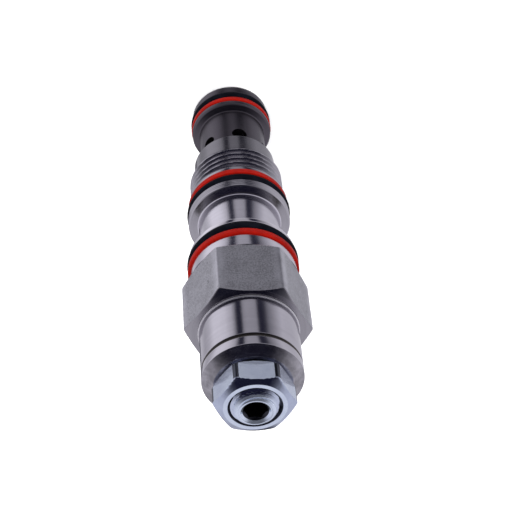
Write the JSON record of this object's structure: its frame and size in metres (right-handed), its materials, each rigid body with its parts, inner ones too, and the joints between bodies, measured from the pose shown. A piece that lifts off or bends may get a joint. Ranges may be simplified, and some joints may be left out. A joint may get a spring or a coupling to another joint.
{
  "type": "cartridge valve",
  "caption": "Screw-in pilot-operated counterbalance cartridge valve with hexagon body, O-ring and backup-ring seals, spring cap, socket set screw and lock nut.",
  "frame": {"origin": "on the valve's axis, at the hexagon's nose-side face", "axes": "+Z along the axis from the nose towards the adjusting screw; -Y is the outward normal of one hexagon flat"},
  "size_m": [0.0256, 0.023, 0.0933],
  "materials": {
    "body_steel": "machined, satin",
    "cap_steel": "turned and polished",
    "sleeve_steel": "dark, turned",
    "inner_steel": "ground",
    "spring_steel": "drawn wire",
    "zinc_plate": "bright zinc plate",
    "seal_rubber": "smooth moulded rubber",
    "backup_ring": "cut plastic ring"
  },
  "bodies": {
    "valve_body": {"hex_body": "body_steel", "spring_cap": "cap_steel", "cap_seal": "seal_rubber", "nose_sleeve": "sleeve_steel", "upper_o_ring": "seal_rubber", "upper_backup_ring": "backup_ring", "middle_o_ring": "seal_rubber", "middle_backup_ring": "backup_ring", "nose_o_ring": "seal_rubber", "nose_backup_ring": "backup_ring", "stem_guide": "inner_steel", "stem_seal": "seal_rubber", "stem_backup_ring": "backup_ring", "check_spring_retainer": "inner_steel", "nose_snap_ring": "spring_steel"},
    "check": {"check_seat": "inner_steel", "check_spring": "spring_steel"},
    "relief": {"relief_poppet": "inner_steel", "pilot_piston": "inner_steel", "pilot_o_ring": "seal_rubber", "pilot_backup_ring": "backup_ring", "lower_spring_seat": "inner_steel", "main_spring": "spring_steel"},
    "carrier": {"spring_carrier": "inner_steel", "carrier_o_ring": "seal_rubber", "carrier_backup_ring": "backup_ring"},
    "screw": {"adjusting_screw": "zinc_plate"},
    "nut": {"lock_nut": "zinc_plate"}
  },
  "joints": [
    {"name": "check_slide", "type": "slide", "parent": "valve_body", "child": "check", "axis": [0, 0, 1], "range_m": [-0.0015, 0], "stiffness_N_per_m": 500, "springref_m": 0.001, "deforming": ["check_spring"]},
    {"name": "relief_slide", "type": "slide", "parent": "valve_body", "child": "relief", "axis": [0, 0, 1], "range_m": [0, 0.0015], "stiffness_N_per_m": 3000, "springref_m": -0.0015, "deforming": ["main_spring"]},
    {"name": "carrier_slide", "type": "slide", "parent": "valve_body", "child": "carrier", "axis": [0, 0, 1], "range_m": [-0.003, 0.002]},
    {"name": "screw_turn", "type": "hinge", "parent": "carrier", "child": "screw", "pos_m": [0, 0, 0.0349], "axis": [0, 0, 1], "range_deg": [-1021, 681]},
    {"name": "nut_turn", "type": "hinge", "parent": "valve_body", "child": "nut", "pos_m": [0, 0, 0.028], "axis": [0, 0, 1], "range_deg": [0, 90]}
  ],
  "couplings": [
    {"joint": "screw_turn", "follows": "carrier_slide", "rad_per_m": 5936.9}
  ]
}
